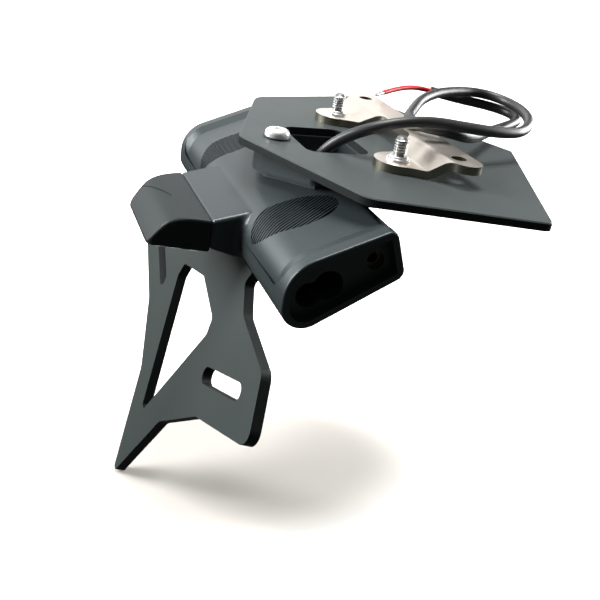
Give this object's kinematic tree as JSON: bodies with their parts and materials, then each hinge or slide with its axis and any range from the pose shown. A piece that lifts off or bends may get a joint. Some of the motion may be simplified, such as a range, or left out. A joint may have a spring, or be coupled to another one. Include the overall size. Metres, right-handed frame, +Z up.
{
  "type": "motorcycle tail tidy",
  "caption": "Fender eliminator with a top plate, stainless bridge bracket, winged body for turn signals, lamp cap, number-plate bracket and wiring lead.",
  "frame": {"origin": "midway between the two studs, at the height where their free threads begin, 5 mm above the top plate's upper face", "axes": "+X to the bike's right, +Y forward, +Z up along the studs"},
  "size_m": [0.1724, 0.181, 0.1675],
  "materials": {
    "black_coat": "satin black powder coat",
    "black_plastic": "satin black moulding",
    "stainless": "polished stainless sheet",
    "zinc": "bright zinc plate",
    "chrome_steel": "bright plated steel",
    "brass": "turned brass",
    "black_rubber": "smooth black sheath",
    "red_sleeve": "red wire insulation",
    "tinned_copper": "tinned strands",
    "clear_lens": "clear lens over the lamp",
    "green_board": "circuit board",
    "white_led": "lamp chips"
  },
  "bodies": {
    "root": {"top_plate": "black_coat", "bridge_bracket": "stainless", "studs": "zinc", "stud_nuts": "zinc", "plate_bolt": "chrome_steel", "plate_bolt_washer": "black_rubber", "plate_bolt_insert": "brass", "main_body": "black_plastic", "wing_insert_right": "brass", "wing_insert_left": "brass", "rear_cap": "black_plastic", "light_lens": "clear_lens", "light_board": "green_board", "light_leds": "white_led", "plate_bracket": "black_coat", "bracket_bolts": "zinc", "bracket_washers": "zinc", "cable_gland": "black_rubber", "cable": "black_rubber", "red_core": "red_sleeve", "bare_wire": "tinned_copper"}
  },
  "joints": []
}
